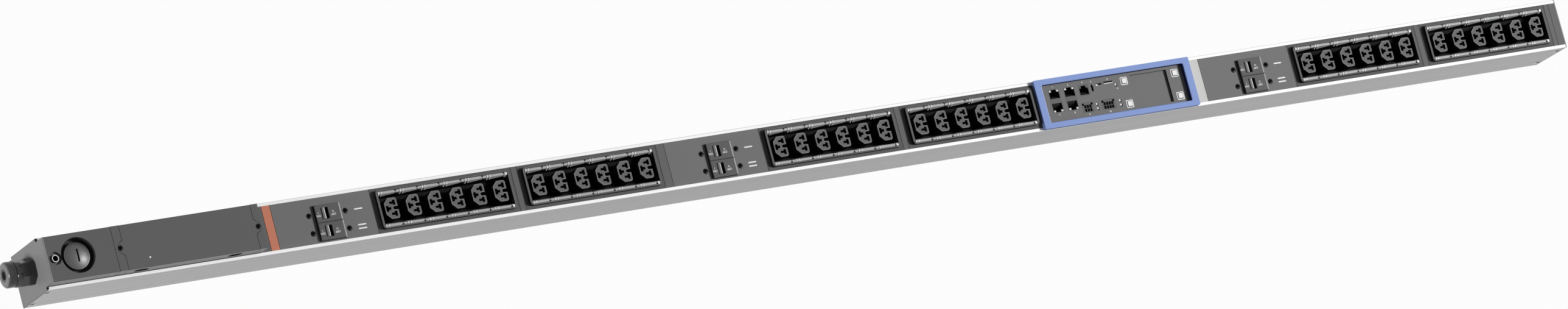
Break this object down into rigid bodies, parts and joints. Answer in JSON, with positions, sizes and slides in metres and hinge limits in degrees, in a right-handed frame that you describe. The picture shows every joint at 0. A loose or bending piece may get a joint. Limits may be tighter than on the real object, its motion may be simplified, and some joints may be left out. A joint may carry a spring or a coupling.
{
  "type": "rack power distribution unit",
  "caption": "Long vertical rack power distribution unit: aluminium profile with outlet modules, paired breakers with rocker handles, a control panel with keys and a cable gland.",
  "frame": {"origin": "bottom centre of the whole unit lying on its back", "axes": "+X along the unit from the cable gland to the far end, +Z out of the outlet face, +Y across it"},
  "size_m": [2.0564, 0.06, 0.0944],
  "materials": {
    "profile_aluminium": "natural anodised, fine drawing lines",
    "end_plate_grey": "satin powder coat",
    "gland_plastic": "moulded, slight sheen",
    "gland_rubber": "matt",
    "cover_grey": "fine grain",
    "plug_black": "semi gloss",
    "bush_steel": "turned",
    "strip_grey": "satin powder coat",
    "marker_orange": "satin",
    "pale_grey": "satin",
    "plate_grey": "satin powder coat",
    "breaker_grey": "fine grain",
    "handle_grey": "satin",
    "outlet_black": "fine grain",
    "insert_grey": "fine grain",
    "guide_clear": "frosted, translucent",
    "frame_blue": "satin",
    "panel_grey": "satin powder coat",
    "display_grey": "smooth film",
    "jack_black": "moulded",
    "button_white": "satin",
    "board_green": "solder mask"
  },
  "bodies": {
    "housing": {"breaker_1": "breaker_grey", "breaker_2": "breaker_grey", "breaker_3": "breaker_grey", "breaker_4": "breaker_grey", "breaker_5": "breaker_grey", "breaker_6": "breaker_grey", "breaker_plate_1": "plate_grey", "breaker_plate_2": "plate_grey", "breaker_plate_3": "plate_grey", "closing_plate": "strip_grey", "controller_board": "board_green", "controller_display": "display_grey", "controller_frame": "frame_blue", "controller_panel": "panel_grey", "earth_bush": "bush_steel", "far_end_plate": "end_plate_grey", "filler_strips": "strip_grey", "gland_body": "gland_plastic", "gland_locknut": "gland_plastic", "gland_nut": "gland_plastic", "gland_seal": "gland_rubber", "infeed_cover": "cover_grey", "infeed_end_plate": "end_plate_grey", "lead_strip": "strip_grey", "marker_strip": "marker_orange", "network_jacks": "jack_black", "outlet_frame_1": "outlet_black", "outlet_frame_2": "outlet_black", "outlet_frame_3": "outlet_black", "outlet_frame_4": "outlet_black", "outlet_frame_5": "outlet_black", "outlet_frame_6": "outlet_black", "outlet_guides_1": "guide_clear", "outlet_guides_2": "guide_clear", "outlet_guides_3": "guide_clear", "outlet_guides_4": "guide_clear", "outlet_guides_5": "guide_clear", "outlet_guides_6": "guide_clear", "outlet_insert_1": "insert_grey", "outlet_insert_2": "insert_grey", "outlet_insert_3": "insert_grey", "outlet_insert_4": "insert_grey", "outlet_insert_5": "insert_grey", "outlet_insert_6": "insert_grey", "pale_strip": "pale_grey", "profile": "profile_aluminium", "service_cover": "cover_grey", "service_frame": "cover_grey", "terminal_headers": "jack_black"},
    "breaker_handle_1": {"breaker_handle_1": "handle_grey"},
    "breaker_handle_2": {"breaker_handle_2": "handle_grey"},
    "breaker_handle_3": {"breaker_handle_3": "handle_grey"},
    "breaker_handle_4": {"breaker_handle_4": "handle_grey"},
    "breaker_handle_5": {"breaker_handle_5": "handle_grey"},
    "breaker_handle_6": {"breaker_handle_6": "handle_grey"},
    "menu_button_1": {"menu_button_1": "button_white"},
    "menu_button_2": {"menu_button_2": "button_white"},
    "menu_button_3": {"menu_button_3": "button_white"},
    "menu_button_4": {"menu_button_4": "button_white"},
    "entry_plug": {"entry_plug": "plug_black"}
  },
  "joints": [
    {"name": "breaker_1_switch", "type": "hinge", "parent": "housing", "child": "breaker_handle_1", "pos_m": [-0.6425, 0.0065, 0.068], "axis": [0, 1, 0], "range_deg": [0, 22]},
    {"name": "breaker_2_switch", "type": "hinge", "parent": "housing", "child": "breaker_handle_2", "pos_m": [-0.6425, -0.0142, 0.068], "axis": [0, 1, 0], "range_deg": [0, 22]},
    {"name": "breaker_3_switch", "type": "hinge", "parent": "housing", "child": "breaker_handle_3", "pos_m": [-0.1395, 0.0065, 0.068], "axis": [0, 1, 0], "range_deg": [0, 22]},
    {"name": "breaker_4_switch", "type": "hinge", "parent": "housing", "child": "breaker_handle_4", "pos_m": [-0.1395, -0.0142, 0.068], "axis": [0, 1, 0], "range_deg": [0, 22]},
    {"name": "breaker_5_switch", "type": "hinge", "parent": "housing", "child": "breaker_handle_5", "pos_m": [0.5814, 0.0065, 0.068], "axis": [0, 1, 0], "range_deg": [0, 22]},
    {"name": "breaker_6_switch", "type": "hinge", "parent": "housing", "child": "breaker_handle_6", "pos_m": [0.5814, -0.0142, 0.068], "axis": [0, 1, 0], "range_deg": [0, 22]},
    {"name": "button_1_press", "type": "slide", "parent": "housing", "child": "menu_button_1", "axis": [0, 0, -1], "range_m": [0, 0.0006], "stiffness_N_per_m": 800},
    {"name": "button_2_press", "type": "slide", "parent": "housing", "child": "menu_button_2", "axis": [0, 0, -1], "range_m": [0, 0.0006], "stiffness_N_per_m": 800},
    {"name": "button_3_press", "type": "slide", "parent": "housing", "child": "menu_button_3", "axis": [0, 0, -1], "range_m": [0, 0.0006], "stiffness_N_per_m": 800},
    {"name": "button_4_press", "type": "slide", "parent": "housing", "child": "menu_button_4", "axis": [0, 0, -1], "range_m": [0, 0.0006], "stiffness_N_per_m": 800},
    {"name": "plug_turn", "type": "hinge", "parent": "housing", "child": "entry_plug", "pos_m": [-0.9557, 0, 0.0944], "axis": [0, 0, 1], "range_deg": [0, 90]}
  ]
}
